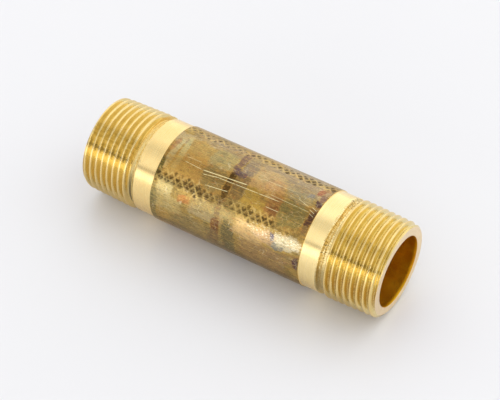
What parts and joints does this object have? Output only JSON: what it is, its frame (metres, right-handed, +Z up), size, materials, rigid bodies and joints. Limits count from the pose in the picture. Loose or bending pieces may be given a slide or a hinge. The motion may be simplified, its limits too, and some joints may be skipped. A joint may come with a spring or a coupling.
{
  "type": "threaded pipe nipple",
  "caption": "Straight brass pipe nipple with a right-hand taper pipe thread and a turned land at each end, a plain round barrel between them and an open through bore.",
  "frame": {"origin": "on the pipe axis at mid length", "axes": "+X along the pipe axis towards the end with the narrower land, +Z up with the nipple lying on its side, +Y to the back"},
  "size_m": [0.0888, 0.0266, 0.0266],
  "materials": {
    "brass": "bright cut threads and lands, heat-tarnished satin barrel"
  },
  "bodies": {
    "root": {"nipple": "brass"}
  },
  "joints": []
}
